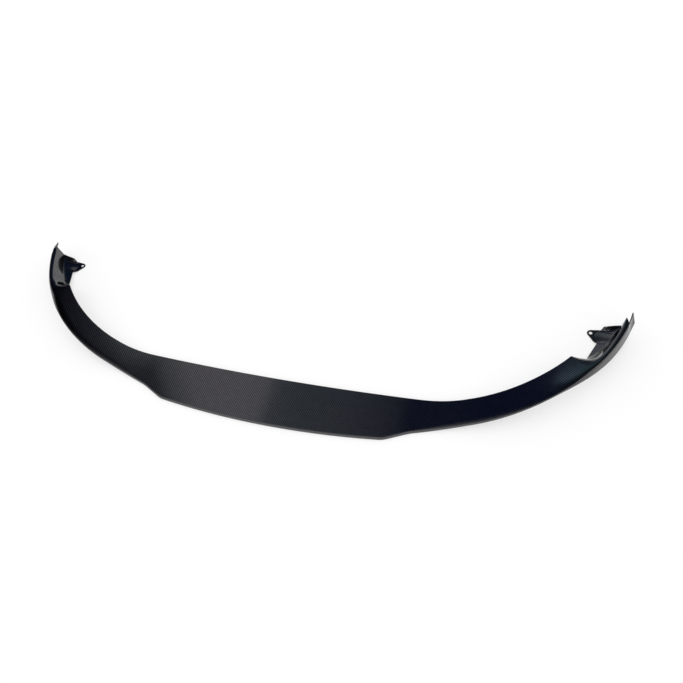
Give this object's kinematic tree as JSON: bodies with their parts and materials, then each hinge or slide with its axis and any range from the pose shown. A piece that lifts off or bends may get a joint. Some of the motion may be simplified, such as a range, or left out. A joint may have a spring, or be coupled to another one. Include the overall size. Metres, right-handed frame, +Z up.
{
  "type": "front splitter lip",
  "caption": "Thin carbon-fibre lip under a car's nose: flat centre blade with stepped corners, swept rising wings, and pocketed forked tips with fastening tabs.",
  "frame": {"origin": "on the ground, at the middle of the lip's width and depth", "axes": "+X across the car to the right as seen from the front, +Y towards the rear of the car, +Z up"},
  "size_m": [1.739, 0.4645, 0.061],
  "materials": {
    "carbon": "close-woven carbon-fibre cloth under a gloss clear coat"
  },
  "bodies": {
    "root": {"front_lip": "carbon"}
  },
  "joints": []
}
